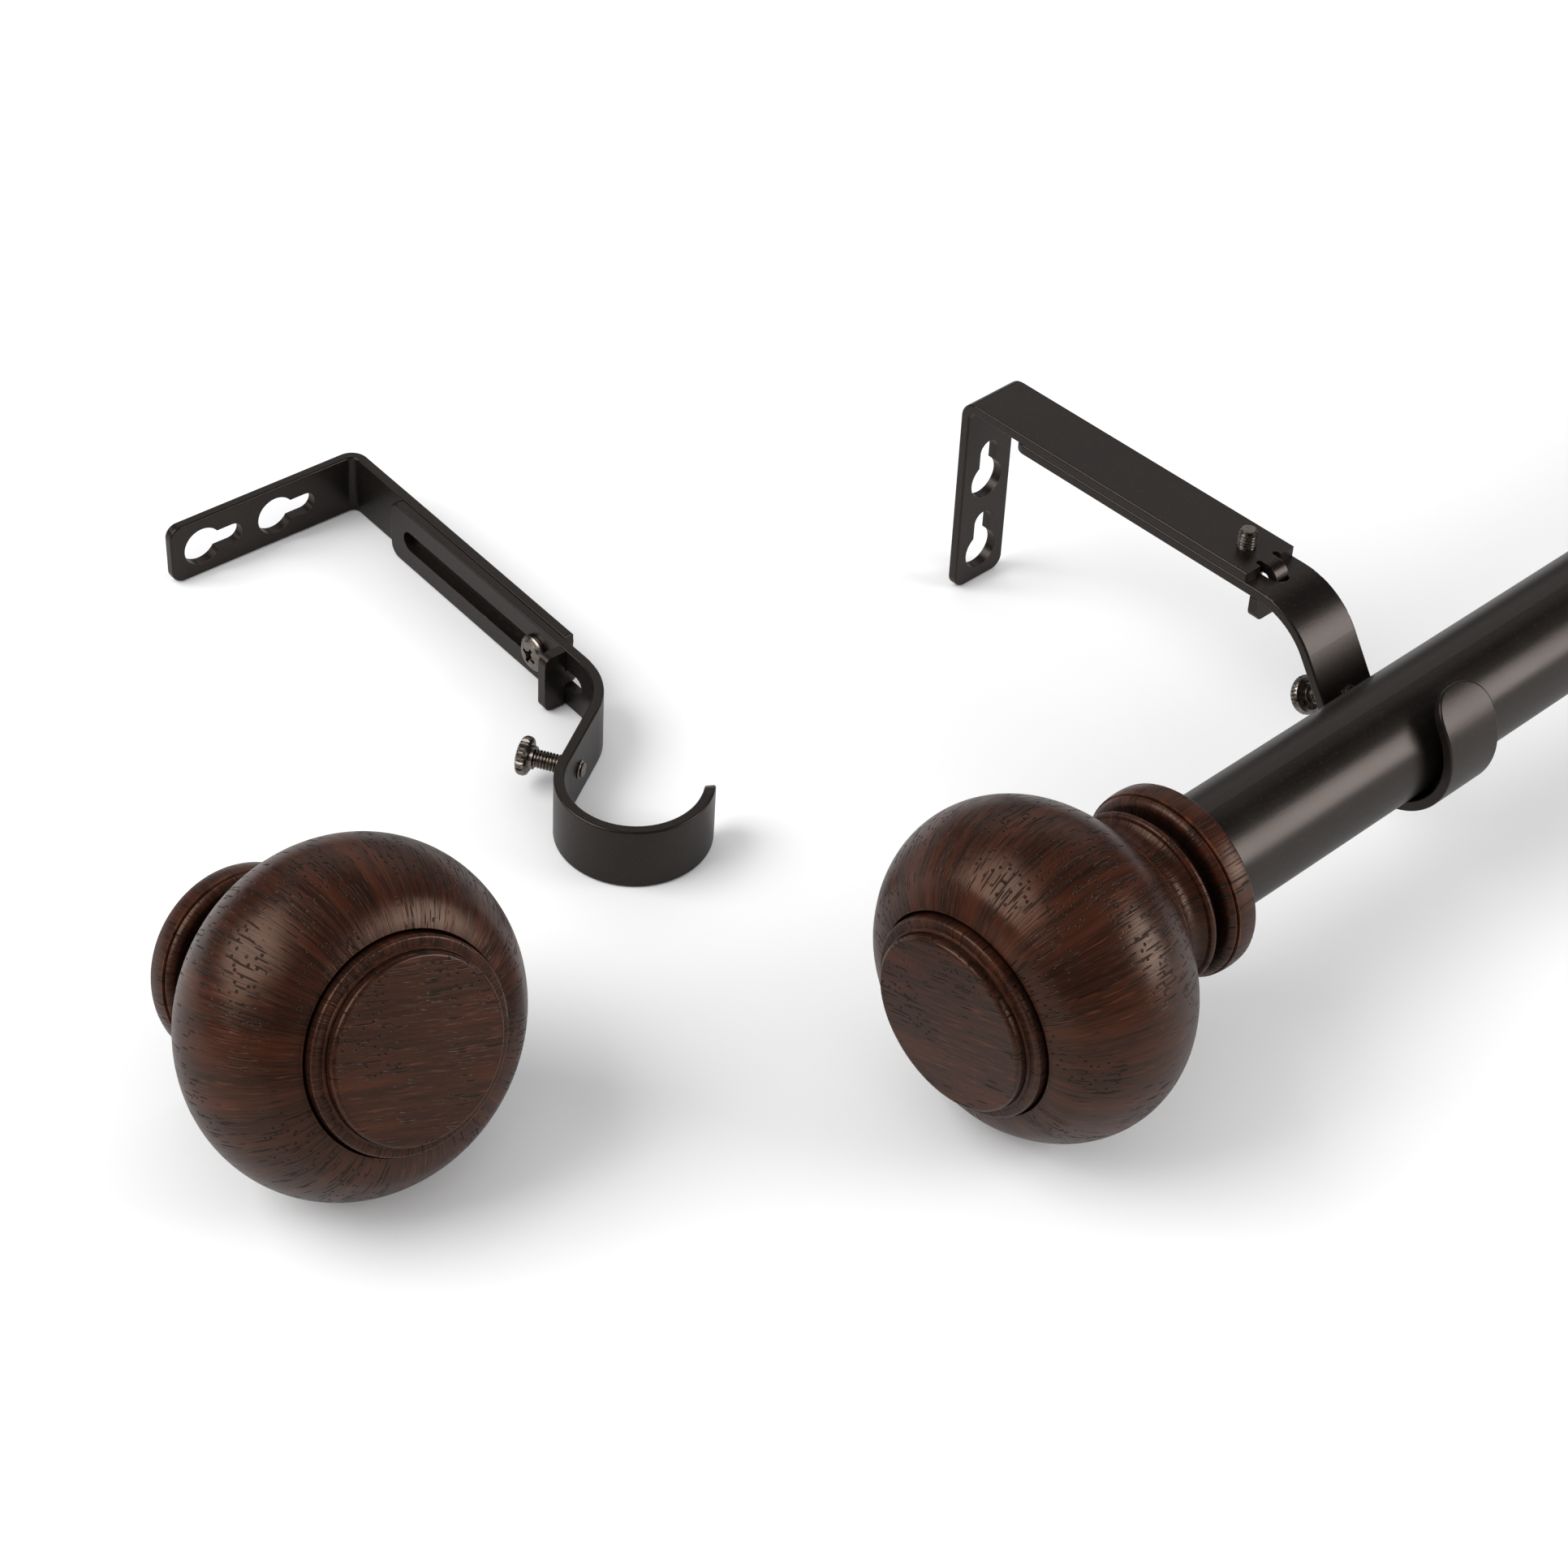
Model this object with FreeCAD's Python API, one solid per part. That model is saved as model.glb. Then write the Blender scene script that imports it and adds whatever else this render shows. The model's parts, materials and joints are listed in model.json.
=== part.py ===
import FreeCAD, Part
import math
import os
from FreeCAD import Placement, Rotation
from FreeCAD import Vector as V

# Curtain rod set: a telescoping rod with a turned wooden finial fitted, held in
# one wall bracket, with the second bracket lying on its side and the second
# finial resting beside it. Millimetres, +Z up, floor at z = 0.

# ---- bracket strip ----
STRIP_W = 15.0
STRIP_T = 2.4
PLATE_H = 51.2
ARM_L = 82.8
BEND_OUT_R = 4.2
CORNER_R = 3.0
EDGE_R = 0.45
KEY_ROUND_R = 4.7
KEY_SLOT_R = 2.6
KEY_RISE = 7.8
KEY_LOW_Z = 8.1
KEY_PITCH = 19.4
CLAMP_O = 76.1
TAB_OUT = 86.6
TAB_BEND_R = 3.4
TAB_NECK_HALF = 1.8
TAB_HEAD_HALF = 7.3
TAB_HEAD_TOP = 46.2
TAB_HEAD_LOW = 40.8
SLIDE_GAP = 0.05

# ---- hook arm ----
HOOK_IN_R = 14.4
HOOK_REACH = 107.5
HOOK_Z = 33.2
SLANT_DEG = 33.0
BEND_TOP_R = 18.0
TIP_DEG = 62.0
TIP_CORNER_R = 7.0
SLOT_W = 5.0
SLOT_START = 5.2
SLOT_END = 72.0
THUMB_UP = 6.6

# ---- screws ----
THREAD_R = 2.0
THREAD_ROOT_R = 1.62
THREAD_PITCH = 0.7
TAP_R = 2.05
CLAMP_HEAD_R = 4.3
CLAMP_HEAD_H = 2.2
CLAMP_SHANK = 9.0
THUMB_HEAD_R = 4.25
THUMB_HEAD_H = 2.5
THUMB_BOSS_R = 2.5
THUMB_BOSS_H = 0.9
THUMB_SHANK = 11.0
KNURLS = 30
THUMB_OUT_A = 1.0
THUMB_OUT_B = 1.0

# ---- rod ----
ROD_R = 12.7
TUBE_WALL = 0.8
INNER_R = 11.1
ROD_LENGTH = 711.2
SLEEVE_L = 30.0
SLEEVE_R = 12.5
LIP_T = 1.0
MOUTH_GAP = 0.3
BUSH_L = 14.0
INNER_LENGTH = 600.0
FIT = 0.05

# ---- finial ----
BALL_R = 34.45
BALL_AXIAL = 25.75
FACE_S = 23.1
FACE_R = 18.2
SEAT_S = 23.0
SOCKET_R = 12.85
FERRULE_R = 13.7
COLLAR_R = 20.0
COLLAR_END = 40.6
GRUB_S = 37.8

# ---- layout ----
BALL_X = -109.65
ROD_O = 122.8
ROD_SIDE = 0.4
HOOK_O_A = ROD_O + ROD_SIDE
HOOK_O_B = 128.0
LOOSE_BRACKET = (-142.7, 234.5)
LOOSE_BRACKET_YAW = -3.45
LOOSE_FINIAL = (-214.2, 72.5)
LOOSE_FINIAL_YAW = 87.4
LOOSE_FINIAL_TILT = 22.1
LOOSE_FINIAL_ROLL = 55.0
REST_GAP = 0.01

AXIS_Z = BALL_R
X_AXIS = V(1, 0, 0)
Y_AXIS = V(0, 1, 0)
Z_AXIS = V(0, 0, 1)


def side(o, h, x=0.0):
    """Point in a bracket: o out from the wall, h above the plate's lower end."""
    return V(x, -o, h)


def polar(o, h, r, deg):
    a = math.radians(deg)
    return o + r * math.cos(a), h + r * math.sin(a)


def line(a, b):
    return Part.makeLine(a, b)


def arc(a, m, b):
    return Part.Arc(a, m, b).toShape()


def solid_across(edges, half):
    """Extrude a closed side outline evenly to both sides of the bracket's middle."""
    wire = Part.Wire(Part.__sortEdges__(edges))
    face = Part.Face(wire)
    face.translate(V(-half, 0, 0))
    return face.extrude(V(2 * half, 0, 0))


def round_edges(shape, radius, wanted):
    picked = [e for e in shape.Edges if wanted(e)]
    return shape.makeFillet(radius, picked)


def stadium(half_w, start, end, low, high):
    """Slot with round ends along the arm, cut through from low to high."""
    box = Part.makeBox(2 * half_w, end - start - 2 * half_w, high - low,
                       V(-half_w, -(end - half_w), low))
    ends = [Part.makeCylinder(half_w, high - low, V(0, -o, low), Z_AXIS)
            for o in (start + half_w, end - half_w)]
    return box.fuse(ends[0]).fuse(ends[1])


def keyhole(z):
    depth = STRIP_T + 2
    start = V(0, 1, z)
    inward = V(0, -1, 0)
    hole = Part.makeCylinder(KEY_ROUND_R, depth, start, inward)
    slot = Part.makeBox(2 * KEY_SLOT_R, depth, KEY_RISE, V(-KEY_SLOT_R, 1 - depth, z))
    tip = Part.makeCylinder(KEY_SLOT_R, depth, V(0, 1, z + KEY_RISE), inward)
    return hole.fuse(slot).fuse(tip)


def corner_cutter(radius, at, sx, across, depth):
    """Square block less a quarter round, to round one corner of a strip.
    at is the corner, sx the side it is on, across the direction into the strip."""
    block_at = at + V(-sx * radius, 0, 0) + across * radius
    through = V(sx, 0, 0).cross(across)
    axis = V(abs(through.x), abs(through.y), abs(through.z))
    far = at + V(sx * 1.0, 0, 0) - across * 1.0
    low = V(min(block_at.x, far.x), min(block_at.y, far.y), min(block_at.z, far.z))
    high = V(max(block_at.x, far.x), max(block_at.y, far.y), max(block_at.z, far.z))
    low = low - axis * depth
    high = high + axis * depth
    size = high - low
    block = Part.makeBox(size.x, size.y, size.z, low)
    core = Part.makeCylinder(radius, 4 * depth, block_at - axis * 2 * depth, axis)
    return block.cut(core)


def make_wall_arm():
    t = STRIP_T
    big = BEND_OUT_R
    small = big - t
    k = math.sqrt(0.5)
    edges = [
        line(side(0, 0), side(0, PLATE_H - big)),
        arc(side(0, PLATE_H - big), side(big - big * k, PLATE_H - big + big * k),
            side(big, PLATE_H)),
        line(side(big, PLATE_H), side(ARM_L, PLATE_H)),
        line(side(ARM_L, PLATE_H), side(ARM_L, PLATE_H - t)),
        line(side(ARM_L, PLATE_H - t), side(big, PLATE_H - t)),
        arc(side(big, PLATE_H - t), side(big - small * k, PLATE_H - big + small * k),
            side(t, PLATE_H - big)),
        line(side(t, PLATE_H - big), side(t, 0)),
        line(side(t, 0), side(0, 0)),
    ]
    body = solid_across(edges, STRIP_W / 2)
    for sx in (-1, 1):
        body = body.cut(corner_cutter(CORNER_R, V(sx * STRIP_W / 2, -t / 2, 0), sx, Z_AXIS, 2 * t))
    for row in range(2):
        body = body.cut(keyhole(KEY_LOW_Z + row * KEY_PITCH))
    body = round_edges(body, EDGE_R, on_strip_side)
    body = body.cut(Part.makeCylinder(TAP_R, 3 * t, side(CLAMP_O, PLATE_H - 2 * t), Z_AXIS))
    for sx in (-1, 1):
        centre = V(sx * (TAB_NECK_HALF + 0.7), -ARM_L, PLATE_H - 2 * t)
        body = body.cut(Part.makeCylinder(0.7, 3 * t, centre + V(0, 0.9, 0), Z_AXIS))
        body = body.cut(Part.makeBox(1.4, 2.0, 3 * t, centre + V(-0.7, -1.1, 0)))
    return body.fuse(make_tab()).removeSplitter()


def on_strip_side(edge):
    """True for the long edges that run along a strip's two narrow faces."""
    xs = [v.X for v in edge.Vertexes] + [edge.CenterOfMass.x]
    return all(abs(abs(x) - STRIP_W / 2) < 1e-4 for x in xs)


def make_tab():
    """T-shaped tab: a narrow neck bends down off the arm's end, its head hangs
    under the hook arm and keeps it against the wall arm."""
    t = STRIP_T
    big = TAB_BEND_R
    small = big - t
    k = math.sqrt(0.5)
    o1 = TAB_OUT
    o0 = TAB_OUT - t
    bend_o = TAB_OUT - big
    edges = [
        line(side(bend_o - 2.6, PLATE_H), side(bend_o, PLATE_H)),
        arc(side(bend_o, PLATE_H), side(bend_o + big * k, PLATE_H - big + big * k),
            side(o1, PLATE_H - big)),
        line(side(o1, PLATE_H - big), side(o1, TAB_HEAD_LOW)),
        line(side(o1, TAB_HEAD_LOW), side(o0, TAB_HEAD_LOW)),
        line(side(o0, TAB_HEAD_LOW), side(o0, PLATE_H - big)),
        arc(side(o0, PLATE_H - big), side(bend_o + small * k, PLATE_H - big + small * k),
            side(bend_o, PLATE_H - t)),
        line(side(bend_o, PLATE_H - t), side(bend_o - 2.6, PLATE_H - t)),
        line(side(bend_o - 2.6, PLATE_H - t), side(bend_o - 2.6, PLATE_H)),
    ]
    tab = solid_across(edges, TAB_HEAD_HALF)
    for sx in (-1, 1):
        wide = TAB_HEAD_HALF - TAB_NECK_HALF + 1
        x0 = TAB_NECK_HALF if sx > 0 else -TAB_NECK_HALF - wide
        tab = tab.cut(Part.makeBox(wide, 12, 12, V(x0, -o1 - 3, TAB_HEAD_TOP)))
        corner = V(sx * TAB_HEAD_HALF, -(o0 + t / 2), TAB_HEAD_LOW)
        tab = tab.cut(corner_cutter(2.0, corner, sx, Z_AXIS, 2 * t))
    return tab


def make_hook_arm():
    """Strip that slides under the wall arm and ends in the open hook.
    Built with the hook's centre at o = 0."""
    t = STRIP_T
    r_in = HOOK_IN_R
    r_out = HOOK_IN_R + t
    top = PLATE_H - STRIP_T - SLIDE_GAP
    low = top - t
    start_deg = 180 + SLANT_DEG
    s = math.radians(SLANT_DEG)
    in_o, in_h = polar(0, HOOK_Z, r_in, start_deg)
    climb = (top - in_h) / math.cos(s)
    corner_o = in_o - climb * math.sin(s)
    turn = math.radians(90 - SLANT_DEG)
    reach = BEND_TOP_R * math.tan(turn / 2)
    bend_o = corner_o - reach
    bend_h = top - BEND_TOP_R
    inner_end = -HOOK_REACH

    def bend(radius, deg):
        return side(*polar(bend_o, bend_h, radius, deg))

    def hook(radius, deg):
        return side(*polar(0, HOOK_Z, radius, deg))

    r_low = BEND_TOP_R - t
    mid = 90 - (90 - SLANT_DEG) / 2
    end = 360 + TIP_DEG
    mid_hook = (start_deg + end) / 2
    edges = [
        line(side(inner_end, top), bend(BEND_TOP_R, 90)),
        arc(bend(BEND_TOP_R, 90), bend(BEND_TOP_R, mid), bend(BEND_TOP_R, SLANT_DEG)),
        line(bend(BEND_TOP_R, SLANT_DEG), hook(r_in, start_deg)),
        arc(hook(r_in, start_deg), hook(r_in, mid_hook), hook(r_in, end)),
        line(hook(r_in, end), hook(r_out, end)),
        arc(hook(r_out, end), hook(r_out, mid_hook), hook(r_out, start_deg)),
        line(hook(r_out, start_deg), bend(r_low, SLANT_DEG)),
        arc(bend(r_low, SLANT_DEG), bend(r_low, mid), bend(r_low, 90)),
        line(bend(r_low, 90), side(inner_end, low)),
        line(side(inner_end, low), side(inner_end, top)),
    ]
    body = solid_across(edges, STRIP_W / 2)
    for sx in (-1, 1):
        corner = V(sx * STRIP_W / 2, -inner_end, top)
        body = body.cut(corner_cutter(CORNER_R, corner, sx, V(0, -1, 0), 2 * t))
    body = body.cut(tip_waste(end))
    body = round_edges(body, EDGE_R, on_strip_side)
    body = body.cut(stadium(SLOT_W / 2, inner_end + SLOT_START, inner_end + SLOT_END,
                            low - 1, top + 1))
    p, n = thumb_line()
    return body.cut(Part.makeCylinder(TAP_R, 4 * t, p - n * 3 * t, n))


def tip_waste(end_deg):
    """Round both corners of the hook's free end."""
    up = V(0, 0, 1)
    r = TIP_CORNER_R
    half = STRIP_W / 2
    mid_r = HOOK_IN_R + STRIP_T / 2
    turn = Rotation(X_AXIS, -end_deg)
    parts = []
    for sx in (-1, 1):
        block = Part.makeBox(r + 1, 2 * STRIP_T + 4, r + 1,
                             V(sx * half - (r if sx > 0 else 1), -mid_r - STRIP_T - 2, -r))
        core = Part.makeCylinder(r, 2 * STRIP_T + 6,
                                 V(sx * (half - r), -mid_r - STRIP_T - 3, -r), Y_AXIS)
        parts.append(block.cut(core))
    waste = parts[0].fuse(parts[1])
    waste.Placement = Placement(up * HOOK_Z, turn).multiply(waste.Placement)
    return waste


def thumb_line():
    """Point on the slanted strip's rod side where the thumb screw comes through,
    and the screw's direction, away from the wall."""
    s = math.radians(SLANT_DEG)
    in_o, in_h = polar(0, HOOK_Z, HOOK_IN_R, 180 + SLANT_DEG)
    o = in_o - THUMB_UP * math.sin(s)
    h = in_h + THUMB_UP * math.cos(s)
    return side(o, h), V(0, -math.cos(s), math.sin(s))


def revolve(points):
    """Solid of revolution about Z from (radius, height) pairs, closed on the axis."""
    pts = [V(r, 0, z) for r, z in points]
    pts.append(pts[0])
    return Part.Face(Part.makePolygon(pts)).revolve(V(0, 0, 0), Z_AXIS, 360)


def thread_points(length):
    """Ridge outline of a thread that runs up from z = 0."""
    points = [(THREAD_ROOT_R, 0)]
    for i in range(int(length / THREAD_PITCH)):
        z = i * THREAD_PITCH
        points.append((THREAD_R, z + 0.30))
        points.append((THREAD_R, z + 0.42))
        points.append((THREAD_ROOT_R, z + 0.66))
    points.append((THREAD_ROOT_R, length - 0.15))
    points.append((THREAD_ROOT_R - 0.25, length))
    return points


def make_clamp_screw():
    """Pan-head cross-recess screw, head down, head's bearing face at z = 0."""
    r = CLAMP_HEAD_R
    h = CLAMP_HEAD_H
    dome = [(0, -h), (0.45 * r, -h + 0.05), (0.75 * r, -h + 0.35), (0.93 * r, -h + 0.95),
            (r, -0.9), (r, -0.15), (r - 0.15, 0)]
    points = dome + thread_points(CLAMP_SHANK)
    points.append((0, CLAMP_SHANK))
    screw = revolve(points)
    for turn in (0, 90):
        arm = Part.makeBox(4.4, 0.95, 1.5, V(-2.2, -0.475, -h - 0.1))
        arm.rotate(V(0, 0, 0), Z_AXIS, turn + 20)
        screw = screw.cut(arm)
    pit = Part.makeCone(1.25, 0.5, 1.7, V(0, 0, -h - 0.1), Z_AXIS)
    return screw.cut(pit)


def make_thumb_screw():
    """Knurled thumb screw, shank along +Z, boss face at z = 0."""
    boss = THUMB_BOSS_H
    h = THUMB_HEAD_H
    r = THUMB_HEAD_R
    points = [(0, -boss - h), (r - 1.0, -boss - h), (r - 0.25, -boss - h + 0.35),
              (r, -boss - h + 0.8), (r, -boss - 0.8), (r - 0.25, -boss - 0.35),
              (r - 1.0, -boss), (THUMB_BOSS_R, -boss), (THUMB_BOSS_R, 0)]
    points = points + thread_points(THUMB_SHANK)
    points.append((0, THUMB_SHANK))
    screw = revolve(points)
    ring = []
    for i in range(2 * KNURLS):
        a = math.pi * i / KNURLS
        rr = r + 0.05 if i % 2 else r - 0.3
        ring.append(V(rr * math.cos(a), rr * math.sin(a), -boss - h - 1))
    ring.append(ring[0])
    knurl = Part.Face(Part.makePolygon(ring)).extrude(V(0, 0, h + 1.0))
    head = screw.common(knurl)
    rest = screw.common(Part.makeCylinder(r + 2, THUMB_SHANK + boss + 2, V(0, 0, -boss), Z_AXIS))
    return head.fuse(rest).removeSplitter()


def make_grub_screw(length):
    screw = revolve(thread_points(length) + [(0, length), (0, 0)])
    return screw.cut(Part.makeBox(0.7, 5, 1.0, V(-0.35, -2.5, -0.1)))


def ball_curve(lead_in, s_from, s_to, count):
    """Smooth outline that runs from the lead-in points onto the flattened ball and
    on along the finial's axis to s_to."""
    pts = [V(x, 0, r) for x, r in lead_in]
    for i in range(count):
        s = s_from + (s_to - s_from) * i / (count - 1)
        pts.append(V(s, 0, BALL_R * math.sqrt(1 - (s / BALL_AXIAL) ** 2)))
    curve = Part.BSplineCurve()
    curve.interpolate(pts)
    return curve.toShape(), pts[0], pts[-1]


def chain(points):
    return [line(V(a[0], 0, a[1]), V(b[0], 0, b[1])) for a, b in zip(points, points[1:])]


def make_finial_body():
    """Turned wooden finial along X: disc face at negative x, socket at positive x."""
    f = FACE_S
    shoulder = [(-18.3, 21.4), (-18.1, 22.3), (-17.6, 23.8), (-16.85, 25.45), (-15.8, 27.15)]
    ball, b0, b1 = ball_curve(shoulder, -14.5, 21.2, 12)
    nose = [arc(V(-f - 0.35, 0, 0), V(-f - 0.25, 0, FACE_R / 2), V(-f, 0, FACE_R - 0.9)),
            arc(V(-f, 0, FACE_R - 0.9), V(-f + 0.25, 0, FACE_R - 0.25), V(-f + 0.9, 0, FACE_R))]
    steps = chain([(-f + 0.9, FACE_R), (-f + 2.0, FACE_R)])
    steps.append(arc(V(-f + 2.0, 0, FACE_R), V(-f + 2.1, 0, FACE_R + 0.45),
                     V(-f + 2.5, 0, FACE_R + 0.7)))
    steps = steps + chain([(-f + 2.5, FACE_R + 0.7), (-f + 2.6, FACE_R + 2.0)])
    steps.append(arc(V(-f + 2.6, 0, FACE_R + 2.0), V(-f + 2.8, 0, FACE_R + 2.4),
                     V(-f + 3.2, 0, FACE_R + 2.6)))
    steps = steps + chain([(-f + 3.2, FACE_R + 2.6), (-f + 5.3, FACE_R + 2.6), (b0.x, b0.z)])
    neck = chain([(b1.x, b1.z), (b1.x + 0.1, b1.z - 0.6)])
    neck.append(arc(V(b1.x + 0.1, 0, b1.z - 0.6), V(22.5, 0, 18.8), V(23.2, 0, 18.3)))
    neck = neck + chain([(23.2, 18.3), (23.7, 18.1), (23.8, 17.5)])
    neck.append(arc(V(23.8, 0, 17.5), V(26.5, 0, 16.1), V(29.4, 0, 17.3)))
    neck = neck + chain([(29.4, 17.3), (29.6, 18.0)])
    neck.append(arc(V(29.6, 0, 18.0), V(30.3, 0, 18.35), V(31.0, 0, 18.0)))
    neck = neck + chain([(31.0, 18.0), (31.2, 15.4)])
    neck.append(arc(V(31.2, 0, 15.4), V(32.5, 0, 14.7), V(33.8, 0, 15.4)))
    c = COLLAR_R
    neck = neck + chain([(33.8, 15.4), (34.0, c - 2.4)])
    neck.append(arc(V(34.0, 0, c - 2.4), V(34.4, 0, c - 1.2), V(35.3, 0, c - 0.6)))
    neck = neck + chain([(35.3, c - 0.6), (35.6, c - 0.75), (35.75, c - 0.2)])
    neck.append(arc(V(35.75, 0, c - 0.2), V(37.8, 0, c), V(39.9, 0, c - 0.15)))
    neck.append(arc(V(39.9, 0, c - 0.15), V(40.4, 0, c - 0.4), V(COLLAR_END, 0, c - 0.9)))
    back = chain([(COLLAR_END, c - 0.9), (COLLAR_END, FERRULE_R), (SEAT_S - 0.8, FERRULE_R),
                  (SEAT_S - 0.8, 0), (-f - 0.35, 0)])
    wire = Part.Wire(Part.__sortEdges__(nose + steps + [ball] + neck + back))
    body = Part.Face(wire).revolve(V(0, 0, 0), X_AXIS, 360)
    return body.cut(Part.makeCylinder(TAP_R + 0.15, 12, V(GRUB_S, 0, -FERRULE_R + 0.5), V(0, 0, -1)))


def make_ferrule():
    """Steel cup that lines the finial's socket, with the set screw's tapped hole."""
    length = COLLAR_END - SEAT_S
    cup = Part.makeCylinder(FERRULE_R, length + 0.8, V(SEAT_S - 0.8, 0, 0), X_AXIS)
    cup = cup.cut(Part.makeCylinder(SOCKET_R, length + 1, V(SEAT_S, 0, 0), X_AXIS))
    return cup.cut(Part.makeCylinder(TAP_R, 12, V(GRUB_S, 0, -8), V(0, 0, -1)))


def make_finial(screw_gap):
    """Finial with its set screw's tip screw_gap outside the rod's surface."""
    grub = make_grub_screw(5.5)
    grub.Placement = Placement(V(GRUB_S, 0, -ROD_R - screw_gap - 5.5), Rotation())
    return [make_finial_body(), make_ferrule(), grub]


def tube(x0, x1, r_out, r_in):
    solid = Part.makeCylinder(r_out, x1 - x0, V(x0, 0, 0), X_AXIS)
    return solid.cut(Part.makeCylinder(r_in, x1 - x0 + 2, V(x0 - 1, 0, 0), X_AXIS))


def lipped_plug(x0, x1, r_body, r_lip, lip_at_start):
    """Press-in plug with a thin lip over the tube's end."""
    plug = Part.makeCylinder(r_body, x1 - x0, V(x0, 0, 0), X_AXIS)
    lip_x = x0 if lip_at_start else x1 - LIP_T
    plug = plug.fuse(Part.makeCylinder(r_lip, LIP_T, V(lip_x, 0, 0), X_AXIS))
    hollow_x = x0 + 2 if lip_at_start else x0 - 1
    return plug.cut(Part.makeCylinder(r_body - 1.6, x1 - x0 - 1, V(hollow_x, 0, 0), X_AXIS))


def make_rod():
    """Rod parts along X, centred on the axis, near end at the finial's seat."""
    x0 = BALL_X + SEAT_S + 0.1
    x_end = x0 + ROD_LENGTH
    tube_start = x0 + LIP_T
    tube_end = x_end - LIP_T - SLEEVE_L - MOUTH_GAP - LIP_T
    bore_r = ROD_R - TUBE_WALL
    sleeve_start = tube_end + LIP_T + MOUTH_GAP
    sleeve_end = sleeve_start + SLEEVE_L
    inner_end = sleeve_end
    inner_start = inner_end - INNER_LENGTH
    parts = {}
    outer = tube(tube_start, tube_end, ROD_R, bore_r)
    parts["rod_outer_tube"] = outer
    parts["rod_near_plug"] = lipped_plug(x0, x0 + 12, bore_r, ROD_R - 0.3, True)
    bush = tube(tube_end - BUSH_L, tube_end, bore_r, INNER_R + FIT)
    lip = tube(tube_end, tube_end + LIP_T, ROD_R, INNER_R + FIT)
    parts["mouth_bush"] = bush.fuse(lip).removeSplitter()
    parts["rod_inner_tube"] = tube(inner_start, inner_end, INNER_R, INNER_R - TUBE_WALL)
    parts["guide_bush"] = tube(inner_start + 2, inner_start + 2 + BUSH_L, bore_r - FIT, INNER_R)
    parts["end_sleeve"] = tube(sleeve_start, sleeve_end, SLEEVE_R, INNER_R)
    plug_start = sleeve_end - 11
    parts["rod_far_plug"] = lipped_plug(plug_start, x_end, INNER_R - TUBE_WALL, SLEEVE_R - 0.3, False)
    for shape in parts.values():
        shape.translate(V(0, 0, AXIS_Z))
    return parts


def make_bracket(tag, hook_o, thumb_out):
    """One bracket in its own axes, wall face on y = 0, plate's lower end at z = 0."""
    p, n = thumb_line()
    hook_arm = make_hook_arm()
    hook_arm.translate(V(0, -hook_o, 0))
    thumb = make_thumb_screw()
    start = p + n * (thumb_out - THUMB_SHANK) + V(0, -hook_o, 0)
    thumb.Placement = Placement(start, Rotation(Z_AXIS, n))
    clamp = make_clamp_screw()
    under = PLATE_H - 2 * STRIP_T - SLIDE_GAP - 0.02
    clamp.Placement = Placement(side(CLAMP_O, under), Rotation())
    return {
        "wall_arm_" + tag: make_wall_arm(),
        "hook_arm_" + tag: hook_arm,
        "clamp_screw_" + tag: clamp,
        "thumb_screw_" + tag: thumb,
    }


def place(shape, placement):
    shape.Placement = placement.multiply(shape.Placement)
    return shape


def standing_bracket():
    """Placement that sets the rod in the hook and the plate's lower end on the floor."""
    slack = HOOK_IN_R - ROD_R - FIT
    rod_h = HOOK_Z - math.sqrt(slack ** 2 - ROD_SIDE ** 2)
    lean = math.asin((AXIS_Z - REST_GAP) / math.hypot(ROD_O, rod_h)) - math.atan2(rod_h, ROD_O)
    turn = Rotation(X_AXIS, -math.degrees(lean))
    at_rod = turn.multVec(side(ROD_O, rod_h))
    return Placement(V(0, 0, AXIS_Z) - at_rod, turn)


def build():
    nodes = {}
    fixed = standing_bracket()
    for name, shape in make_bracket("a", HOOK_O_A, THUMB_OUT_A).items():
        nodes[name] = place(shape, fixed)
    flat = Rotation(Z_AXIS, LOOSE_BRACKET_YAW).multiply(Rotation(Y_AXIS, 90))
    lying = Placement(V(LOOSE_BRACKET[0], LOOSE_BRACKET[1], STRIP_W / 2 + REST_GAP), flat)
    for name, shape in make_bracket("b", HOOK_O_B, THUMB_OUT_B).items():
        nodes[name] = place(shape, lying)
    nodes.update(make_rod())
    labels = ("body", "ferrule", "set_screw")
    on_rod = Placement(V(BALL_X, 0, AXIS_Z), Rotation())
    tilt = Rotation(Z_AXIS, LOOSE_FINIAL_YAW).multiply(Rotation(Y_AXIS, LOOSE_FINIAL_TILT))
    tilt = tilt.multiply(Rotation(X_AXIS, LOOSE_FINIAL_ROLL))
    trial = place(make_finial_body(), Placement(V(0, 0, 0), tilt))
    rest_z = REST_GAP - trial.optimalBoundingBox(False).ZMin
    loose = Placement(V(LOOSE_FINIAL[0], LOOSE_FINIAL[1], rest_z), tilt)
    for tag, where, screw_gap in (("a", on_rod, FIT), ("b", loose, 0.5)):
        for label, shape in zip(labels, make_finial(screw_gap)):
            nodes["finial_" + label + "_" + tag] = place(shape, where)
    return nodes


def centre_on_floor(nodes):
    """Move everything so the origin is under the middle of the whole set."""
    boxes = [shape.optimalBoundingBox(False) for shape in nodes.values()]
    cx = (min(b.XMin for b in boxes) + max(b.XMax for b in boxes)) / 2
    cy = (min(b.YMin for b in boxes) + max(b.YMax for b in boxes)) / 2
    low = min(b.ZMin for b in boxes)
    for shape in nodes.values():
        shape.translate(V(-cx, -cy, -low))
    return V(-cx, -cy, -low)


os.makedirs("parts", exist_ok=True)
all_nodes = build()
shift = centre_on_floor(all_nodes)
print("frame shift", round(shift.x, 4), round(shift.y, 4), round(shift.z, 4))
for node_name, node_shape in all_nodes.items():
    node_shape.exportStep("parts/" + node_name + ".step")
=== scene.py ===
import json
import math

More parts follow.
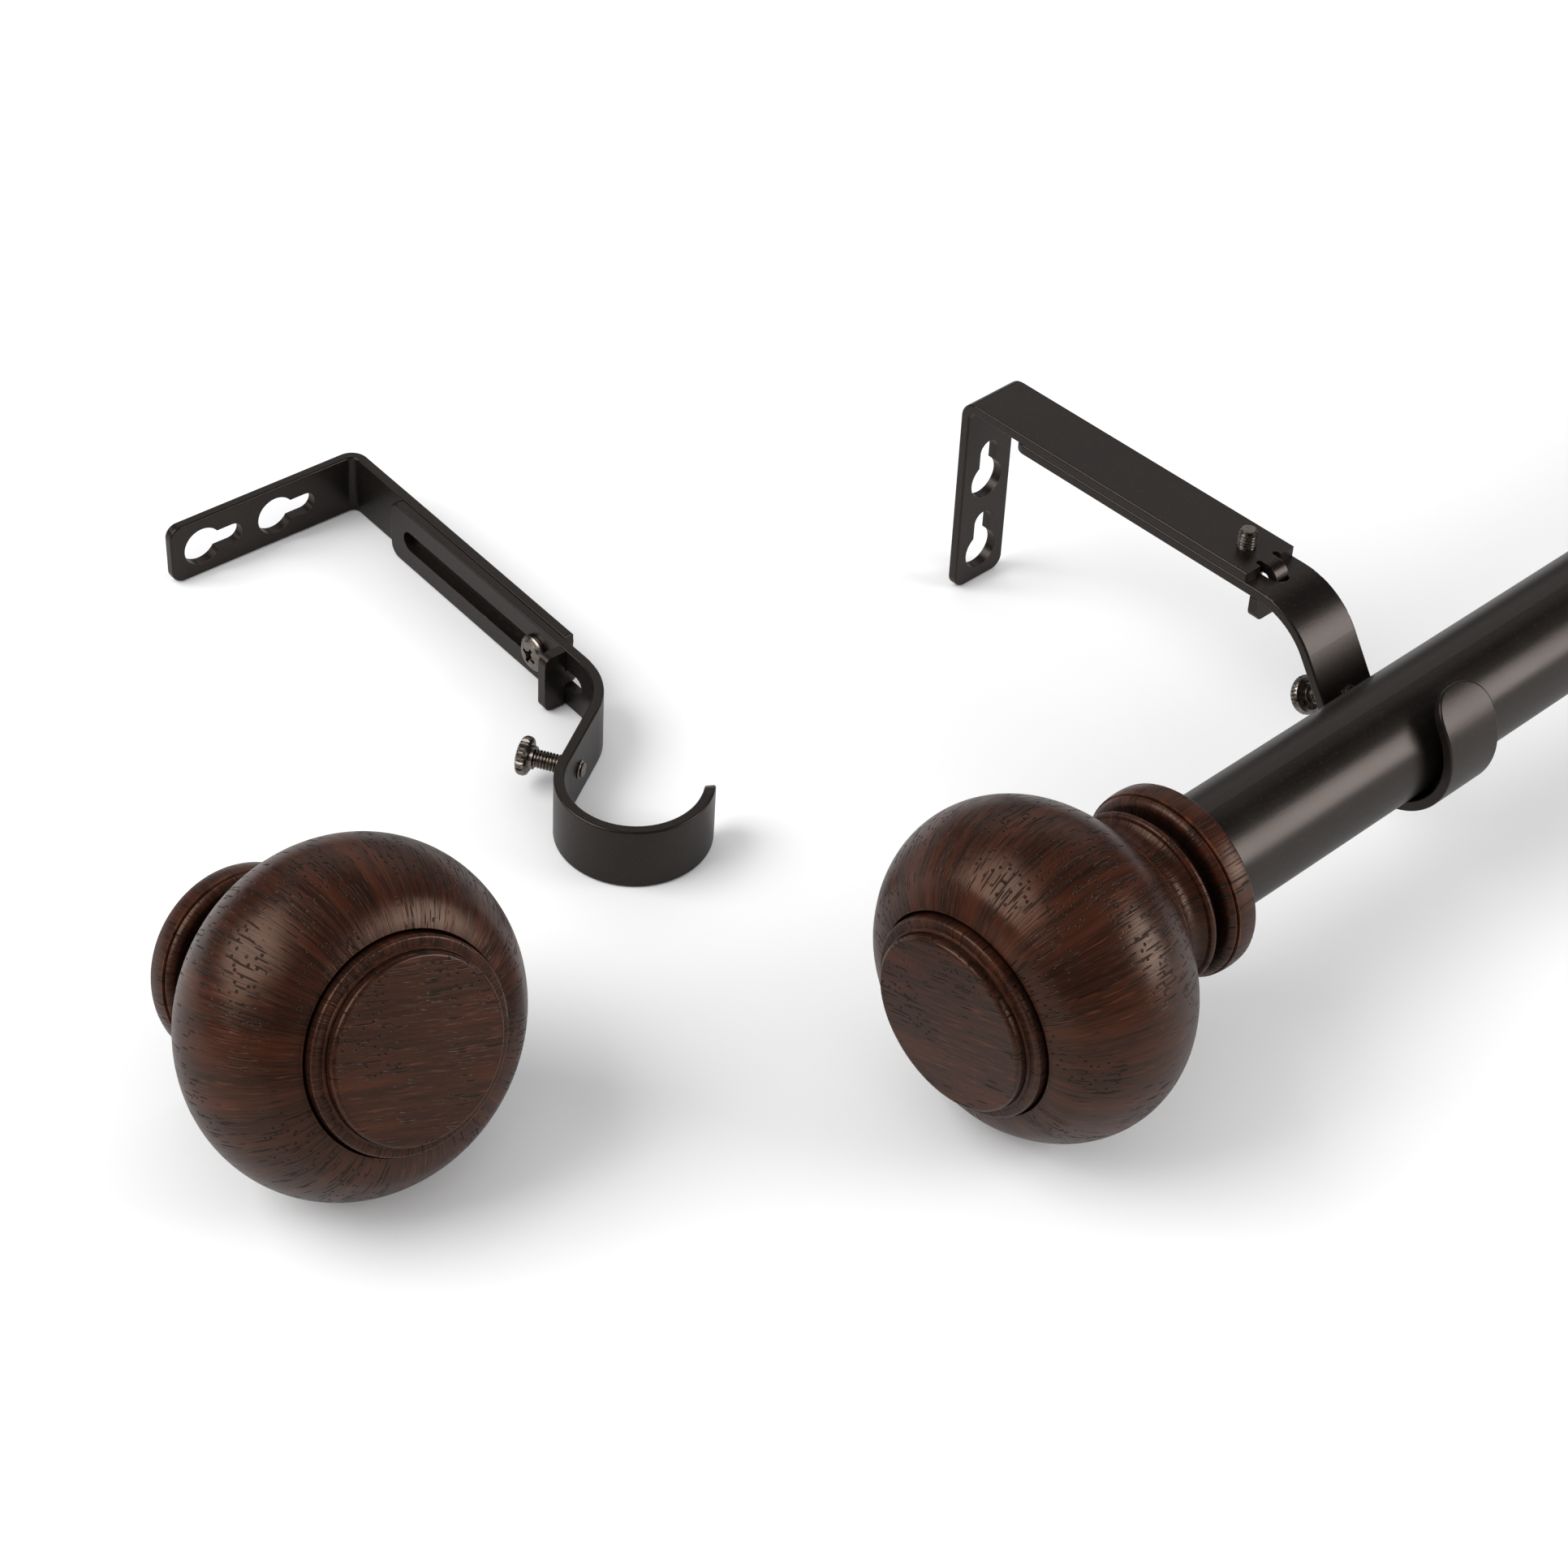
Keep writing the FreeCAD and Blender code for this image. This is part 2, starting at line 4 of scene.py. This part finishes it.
import bpy
from mathutils import Matrix, Vector


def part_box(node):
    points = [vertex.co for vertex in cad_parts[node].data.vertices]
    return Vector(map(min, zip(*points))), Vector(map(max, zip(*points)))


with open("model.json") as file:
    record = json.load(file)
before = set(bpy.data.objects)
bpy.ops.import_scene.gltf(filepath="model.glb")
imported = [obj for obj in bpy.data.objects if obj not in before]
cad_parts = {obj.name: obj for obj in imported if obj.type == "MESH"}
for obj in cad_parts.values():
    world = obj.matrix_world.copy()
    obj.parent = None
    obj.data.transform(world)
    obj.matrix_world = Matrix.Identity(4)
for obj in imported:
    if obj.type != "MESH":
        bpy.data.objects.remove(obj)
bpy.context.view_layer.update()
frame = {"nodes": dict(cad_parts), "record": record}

MM = 0.001
BALL_RADIUS = 34.45 * MM
MOUTH_TO_BALL = 40.6 * MM       # from the finial's mouth back to the ball's middle
SOCKET_TO_BALL = 31.8 * MM      # from the socket's mount back to the ball's middle
DISC_EDGE = (19.1 * MM, 18.7 * MM)
DISC_PLANE = (-20.8 * MM, -21.4 * MM)
GRAIN_SPREAD = 1.34             # how fast the grain runs round the ball, front to back
GRAIN_LENGTH = 30 * MM          # grain met in one radian of that
FLOOR_HALF = 6.0
FLOOR_DROP = 0.2 * MM
FLOOR_TONE = 0.86
FLOOR_TONE_REFLECTED = 0.56
WORLD_LEVEL = 0.66
WORLD_LEVEL_REFLECTED = 0.03
NODES = frame["nodes"]
MOUNTS = {m["name"]: m for m in frame["record"]["mounts"]}


# ---------------------------------------------------------------- camera
# Fitted to the photograph: degrees, metres and a lens in millimetres.
VIEW_AZIMUTH = -45.38
VIEW_ELEVATION = 41.55
VIEW_ROLL = 3.86
VIEW_PLACE = Vector((-0.66852, -0.39689, 0.49536))
VIEW_LENS = 80.62


def view_axes(azimuth, elevation):
    """Right, up and back of a camera or lamp that looks from there, 0 being the front."""
    a = math.radians(azimuth)
    e = math.radians(elevation)
    back = Vector((math.sin(a) * math.cos(e), -math.cos(a) * math.cos(e), math.sin(e)))
    right = Vector((math.cos(a), math.sin(a), 0))
    return right, back.cross(right), back


def make_camera():
    right, up, back = view_axes(VIEW_AZIMUTH, VIEW_ELEVATION)
    r = math.radians(VIEW_ROLL)
    x = right * math.cos(r) + up * math.sin(r)
    y = up * math.cos(r) - right * math.sin(r)
    data = bpy.data.cameras.new("photo_camera")
    data.lens = VIEW_LENS
    data.sensor_width = 36.0
    data.clip_start = 0.01
    camera = bpy.data.objects.new("photo_camera", data)
    camera.matrix_world = Matrix.Translation(VIEW_PLACE) @ Matrix((x, y, back)).transposed().to_4x4()
    bpy.context.scene.collection.objects.link(camera)
    bpy.context.scene.camera = camera


# ---------------------------------------------------------------- node helpers
class Tree:
    """Short calls for building one material's nodes."""

    def __init__(self, name):
        self.material = bpy.data.materials.new(name)
        self.material.use_nodes = True
        self.nodes = self.material.node_tree.nodes
        self.links = self.material.node_tree.links
        self.shader = self.nodes["Principled BSDF"]

    def put(self, value, socket):
        if isinstance(value, bpy.types.NodeSocket):
            self.links.new(value, socket)
        else:
            socket.default_value = value

    def node(self, kind, out=0, inputs=None, **settings):
        n = self.nodes.new("ShaderNode" + kind)
        for key, value in settings.items():
            setattr(n, key, value)
        for key, value in (inputs or {}).items():
            self.put(value, n.inputs[key])
        return n.outputs[out]

    def math(self, operation, a, b=0.5):
        return self.node("Math", inputs={0: a, 1: b}, operation=operation)

    def vector(self, operation, a, b, out="Vector"):
        return self.node("VectorMath", out=out, inputs={0: a, 1: b}, operation=operation)

    def ramp(self, value, low, high, to_low=0.0, to_high=1.0):
        return self.node("MapRange", inputs={0: value, 1: low, 2: high, 3: to_low, 4: to_high},
                         interpolation_type="SMOOTHSTEP")

    def mix(self, factor, a, b):
        """Colour a, going to colour b as factor goes to 1."""
        return self.node("Mix", out=2, inputs={0: factor, 6: a, 7: b}, data_type="RGBA")

    def mix_places(self, factor, a, b):
        return self.node("Mix", out=1, inputs={0: factor, 4: a, 5: b}, data_type="VECTOR")

    def noise(self, vector, scale, detail=2.0, roughness=0.5):
        return self.node("TexNoise", inputs={"Vector": vector, "Scale": scale,
                                             "Detail": detail, "Roughness": roughness})

    def cells(self, vector, scale, out="Distance", dimensions="3D"):
        return self.node("TexVoronoi", out=out, inputs={"Vector": vector, "Scale": scale},
                         voronoi_dimensions=dimensions)

    def place(self):
        return self.node("TexCoord", out="Object")

    def bump(self, height, distance, strength):
        return self.node("Bump", inputs={"Height": height, "Distance": distance,
                                         "Strength": strength})

    def edge(self, radius):
        """1 on sharp edges, 0 on open faces."""
        soft = self.node("Bevel", inputs={"Radius": radius}, samples=6)
        sharp = self.node("NewGeometry", out="Normal")
        alike = self.vector("DOT_PRODUCT", soft, sharp, out="Value")
        return self.ramp(alike, 0.995, 0.90)

    def openness(self, distance, low, high, least):
        """The value least in narrow grooves, rising to 1 on open faces."""
        seen = self.node("AmbientOcclusion", out="AO", inputs={"Distance": distance}, samples=8,
                         only_local=True)
        return self.ramp(seen, low, high, least, 1.0)

    def set(self, **values):
        for key, value in values.items():
            self.put(value, self.shader.inputs[key.replace("_", " ")])


def grey(v):
    return (v, v, v, 1.0)


# ---------------------------------------------------------------- materials
def coated_metal(name, streak_along_rod):
    """Dark bronze powder coat: fine orange peel, faint mottling, copper showing on edges."""
    t = Tree(name)
    p = t.place()
    cloud = t.noise(p, 38.0, 3.0, 0.55)
    fleck = t.node("RGBToBW", inputs={0: t.cells(p, 2600.0, out="Color")})
    tone = t.mix(t.ramp(cloud, 0.3, 0.7), (0.0046, 0.0038, 0.0035, 1), (0.0076, 0.0062, 0.0055, 1))
    tone = t.mix(t.ramp(fleck, 0.72, 0.98, 0.0, 0.35), tone, (0.030, 0.024, 0.020, 1))
    if streak_along_rod:
        long_place = t.vector("MULTIPLY", p, (2.0, 320.0, 320.0))
        drawn = t.noise(long_place, 1.0, 2.0, 0.6)
        tone = t.mix(t.ramp(drawn, 0.35, 0.75, 0.0, 0.25), tone, (0.020, 0.017, 0.015, 1))
    edge = t.edge(0.5 * MM)
    patch = t.noise(p, 420.0, 4.0, 0.6)
    worn = t.math("MULTIPLY", edge, t.ramp(patch, 0.50, 0.66, 0.0, 0.75))
    tone = t.mix(worn, tone, (0.085, 0.036, 0.020, 1))
    rough = t.ramp(cloud, 0.2, 0.8, 0.29, 0.35)
    peel = t.noise(p, 1500.0, 2.0, 0.5)
    t.set(Base_Color=tone, Roughness=rough, Specular_Tint=(1.0, 0.83, 0.75, 1),
          Specular_IOR_Level=0.42, Normal=t.bump(peel, 0.05 * MM, 0.28))
    return t.material


def plated_screw(name):
    """Black-nickel plate with tiny tool marks and brighter worn crests."""
    t = Tree(name)
    p = t.place()
    cloud = t.noise(p, 900.0, 3.0, 0.6)
    edge = t.edge(0.18 * MM)
    tone = t.mix(t.ramp(cloud, 0.35, 0.7), (0.20, 0.175, 0.155, 1), (0.29, 0.255, 0.225, 1))
    tone = t.mix(t.math("MULTIPLY", edge, 0.7), tone, (0.55, 0.47, 0.41, 1))
    t.set(Base_Color=tone, Metallic=1.0, Roughness=t.ramp(cloud, 0.2, 0.8, 0.2, 0.36),
          Normal=t.bump(cloud, 0.03 * MM, 0.4))
    return t.material


def cup_steel(name):
    """Plain zinc-plated steel for the finial's cup."""
    t = Tree(name)
    p = t.place()
    cloud = t.noise(p, 260.0, 4.0, 0.65)
    tone = t.mix(t.ramp(cloud, 0.3, 0.7), (0.40, 0.395, 0.37, 1), (0.52, 0.51, 0.48, 1))
    t.set(Base_Color=tone, Metallic=1.0, Roughness=t.ramp(cloud, 0.3, 0.7, 0.28, 0.42),
          Normal=t.bump(cloud, 0.04 * MM, 0.35))
    return t.material


def moulded_plastic(name):
    """Black-brown nylon with a fine moulded grain."""
    t = Tree(name)
    p = t.place()
    grain = t.noise(p, 1800.0, 3.0, 0.6)
    cloud = t.noise(p, 60.0, 2.0)
    tone = t.mix(t.ramp(cloud, 0.3, 0.7), (0.022, 0.020, 0.0185, 1), (0.032, 0.029, 0.026, 1))
    t.set(Base_Color=tone, Roughness=t.ramp(grain, 0.3, 0.7, 0.48, 0.62),
          Normal=t.bump(grain, 0.05 * MM, 0.4))
    return t.material


def turned_wood(name, centre, turn):
    """A material's tree and three sets of places on a finial, in metres. local is the
    finial's own, with X along its axis. grain follows the meridians of the ball and runs
    straight across the front disc. sheet is that grain unrolled flat, along it and across."""
    t = Tree(name)
    local = t.node("Mapping", inputs={"Vector": t.place(), "Location": centre, "Rotation": turn},
                   vector_type="TEXTURE")
    x, y, z = (t.node("SeparateXYZ", out=i, inputs={0: local}) for i in range(3))
    radius = t.math("SQRT", t.math("ADD", t.math("MULTIPLY", y, y), t.math("MULTIPLY", z, z)))
    scale = t.math("DIVIDE", BALL_RADIUS, t.math("MAXIMUM", radius, 1e-6))
    tilt = t.math("ARCTAN2", t.math("MULTIPLY", x, GRAIN_SPREAD), radius)
    along = t.math("MULTIPLY", tilt, GRAIN_LENGTH)
    turned = t.math("MULTIPLY", t.math("ARCTAN2", z, y), BALL_RADIUS)
    on_ball = t.node("CombineXYZ", inputs={0: along, 1: t.math("MULTIPLY", y, scale),
                                           2: t.math("MULTIPLY", z, scale)})
    unrolled = t.node("CombineXYZ", inputs={0: along, 1: turned})
    flat = t.node("CombineXYZ", inputs={0: y, 1: z, 2: x})
    on_disc = t.math("MULTIPLY", t.ramp(radius, *DISC_EDGE), t.ramp(x, *DISC_PLANE))
    grain = t.mix_places(on_disc, on_ball, flat)
    sheet = t.mix_places(on_disc, unrolled, flat)
    return t, local, grain, sheet


def finish_wood(name, centre, turn, seed):
    """Dark walnut stain, satin: fine streaks, open pores, red showing on rubbed edges, and painted shade
    that darkens the narrow grooves.
    The seed shifts every pattern, so that no two finials are alike."""
    t, local, grain, sheet = turned_wood(name, centre, turn)

    def along_grain(length, across):
        """Places for a pattern whose marks are this long and wide, in millimetres."""
        scaled = t.vector("MULTIPLY", grain, (1 / (length * MM), 1 / (across * MM), 1 / (across * MM)))
        return t.vector("ADD", scaled, (seed * 3.1, seed * 1.7, seed * 2.3))

    def pores(length, across, limit):
        """1 in short slits, one to each cell of this size in millimetres."""
        scaled = t.vector("MULTIPLY", sheet, (1 / (length * MM), 1 / (across * MM), 0))
        shifted = t.vector("ADD", scaled, (seed * 5.3 + length, seed * 2.9, 0))
        return t.ramp(t.cells(shifted, 1.0, dimensions="2D"), limit, limit * 0.55)

    streak = t.noise(along_grain(18.0, 0.85), 1.0, 5.0, 0.62)
    fine = t.noise(along_grain(9.0, 0.38), 1.0, 2.0, 0.6)
    broad = t.noise(along_grain(40.0, 5.0), 1.0, 2.0, 0.5)
    stroke = t.noise(along_grain(6.0, 0.45), 1.0, 1.0, 0.5)
    patchy = t.noise(local, 70.0, 3.0, 0.6)

    tone = t.mix(t.ramp(streak, 0.34, 0.68), (0.0140, 0.0054, 0.0036, 1), (0.035, 0.0106, 0.0056, 1))
    tone = t.mix(t.ramp(fine, 0.50, 0.70, 0.0, 0.65), tone, (0.0085, 0.0040, 0.0030, 1))
    tone = t.mix(t.ramp(broad, 0.46, 0.68, 0.0, 0.50), tone, (0.060, 0.0155, 0.0072, 1))
    rubbed_stroke = t.math("MULTIPLY", t.ramp(stroke, 0.60, 0.74), t.ramp(patchy, 0.56, 0.44))
    tone = t.mix(t.math("MULTIPLY", rubbed_stroke, 0.6), tone, (0.085, 0.026, 0.012, 1))

    slits = t.math("MAXIMUM", pores(22.0, 1.5, 0.145), pores(12.0, 1.3, 0.14))
    slit = t.math("MULTIPLY", slits, t.ramp(patchy, 0.43, 0.50))
    dot = t.math("MULTIPLY", pores(2.2, 2.2, 0.18), t.ramp(patchy, 0.50, 0.56))
    hole = t.math("MAXIMUM", slit, dot)
    tone = t.mix(hole, tone, (0.0035, 0.0021, 0.0016, 1))

    edge = t.edge(0.7 * MM)
    rubbed = t.noise(local, 300.0, 4.0, 0.6)
    # Low in narrow grooves and 1 on open faces. It keeps the rubbed red to open edges, sets where the
    # grooves get painted shade below, and lowers their gloss.
    open_face_unshaded = t.openness(4 * MM, 0.50, 0.92, 0.12)
    worn = t.math("MULTIPLY", t.math("MULTIPLY", edge, open_face_unshaded), t.ramp(rubbed, 0.40, 0.64, 0.05, 0.8))
    tone = t.mix(worn, tone, (0.19, 0.058, 0.025, 1))
    # Painted shade: narrow grooves and recesses darkened towards near black.
    tone = t.mix(t.math("SUBTRACT", 1.0, open_face_unshaded), tone, (0.0040, 0.0022, 0.0016, 1))

    rough = t.math("ADD", t.ramp(streak, 0.3, 0.7, 0.26, 0.34), t.math("MULTIPLY", hole, 0.3))
    height = t.math("SUBTRACT", t.math("MULTIPLY", streak, 0.22), t.math("MULTIPLY", hole, 1.3))
    height = t.math("SUBTRACT", height, t.math("MULTIPLY", t.ramp(fine, 0.5, 0.75), 0.25))
    t.set(Base_Color=tone, Roughness=rough, Specular_Tint=(1.0, 0.68, 0.52, 1),
          Specular_IOR_Level=t.math("MULTIPLY", open_face_unshaded, 0.36),
          Normal=t.bump(height, 0.2 * MM, 0.5))
    return t.material


def floor_material():
    """Pale matt paper, which the object reflects darker than it is."""
    t = Tree("floor_paper")
    weave = t.noise(t.place(), 900.0)
    reflected = t.node("LightPath", out="Is Glossy Ray")
    t.set(Base_Color=t.mix(reflected, grey(FLOOR_TONE), grey(FLOOR_TONE_REFLECTED)),
          Roughness=t.ramp(weave, 0.3, 0.7, 0.75, 0.9), Normal=t.bump(weave, 0.1 * MM, 0.15))
    return t.material


def dress(material, *names):
    for name in names:
        slots = NODES[name].data.materials
        slots.clear()
        slots.append(material)


# ---------------------------------------------------------------- stage
def make_floor():
    h = FLOOR_HALF
    mesh = bpy.data.meshes.new("floor")
    mesh.from_pydata([(-h, -h, 0), (h, -h, 0), (h, h, 0), (-h, h, 0)], [], [(0, 1, 2, 3)])
    floor = bpy.data.objects.new("floor", mesh)
    floor.location = (0, 0, -FLOOR_DROP)
    mesh.materials.append(floor_material())
    bpy.context.scene.collection.objects.link(floor)


def area_light(name, aim, azimuth, elevation, distance, size, power):
    """Soft box that faces the point aim from an azimuth and elevation in degrees."""
    data = bpy.data.lights.new(name, "AREA")
    data.shape = "RECTANGLE"
    data.size, data.size_y = size
    data.energy = power
    light = bpy.data.objects.new(name, data)
    right, up, back = view_axes(azimuth, elevation)
    light.matrix_world = (Matrix.Translation(aim + back * distance)
                          @ Matrix((right, up, back)).transposed().to_4x4())
    bpy.context.scene.collection.objects.link(light)


def make_light():
    """Two soft boxes, a weak back panel and a white world that reflects darker than it lights."""
    aim = Vector((-0.28, -0.05, 0.02))
    area_light("left_box", aim, -122, 44, 1.3, (1.0, 0.9), 14.0)
    area_light("right_box", aim, 40, 23, 1.2, (0.62, 0.62), 8.5)
    area_light("back_wall", aim, 138, 33, 1.6, (1.8, 1.0), 3.0)
    world = bpy.data.worlds.new("studio")
    world.use_nodes = True
    nodes = world.node_tree.nodes
    links = world.node_tree.links
    background = nodes["Background"]
    background.inputs["Color"].default_value = grey(1.0)
    reflected = nodes.new("ShaderNodeLightPath").outputs["Is Glossy Ray"]
    level = nodes.new("ShaderNodeMapRange")
    level.inputs["To Min"].default_value = WORLD_LEVEL
    level.inputs["To Max"].default_value = WORLD_LEVEL_REFLECTED
    links.new(reflected, level.inputs["Value"])
    links.new(level.outputs["Result"], background.inputs["Strength"])
    bpy.context.scene.world = world
    bpy.context.scene.view_settings.view_transform = "Standard"


# ---------------------------------------------------------------- build
def frame_of_axis(axis, roll_deg):
    """Rotation whose X runs along axis, turned about it by roll_deg from level."""
    x = axis.normalized()
    y = Vector((0, 0, 1)).cross(x).normalized()
    level = Matrix((x, y, x.cross(y))).transposed()
    return (level @ Matrix.Rotation(math.radians(roll_deg), 3, "X")).to_euler()


make_camera()
make_floor()
make_light()

low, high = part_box("finial_body_a")
radius_a = (high.y - low.y) / 2
centre_a = Vector((high.x - MOUTH_TO_BALL, (low.y + high.y) / 2, low.z + radius_a))
axis_a = Vector((1, 0, 0))
axis_b = Vector(MOUNTS["finial_socket_b"]["axis"])
centre_b = Vector(MOUNTS["finial_socket_b"]["pos_m"]) - axis_b * SOCKET_TO_BALL

strip_coat = coated_metal("strip_coat", False)
rod_coat = coated_metal("rod_coat", True)
screw_plate = plated_screw("screw_plate")
dress(strip_coat, "wall_arm_a", "hook_arm_a", "wall_arm_b", "hook_arm_b")
dress(rod_coat, "rod_outer_tube", "rod_inner_tube", "end_sleeve")
dress(screw_plate, "clamp_screw_a", "clamp_screw_b", "thumb_screw_a", "thumb_screw_b",
      "finial_set_screw_a", "finial_set_screw_b")
dress(moulded_plastic("moulded_plastic"), "rod_near_plug", "rod_far_plug", "mouth_bush", "guide_bush")
dress(cup_steel("cup_steel"), "finial_ferrule_a", "finial_ferrule_b")
dress(finish_wood("walnut_a", centre_a, frame_of_axis(axis_a, -20), seed=1.0), "finial_body_a")
dress(finish_wood("walnut_b", centre_b, frame_of_axis(axis_b, 20), seed=2.0), "finial_body_b")
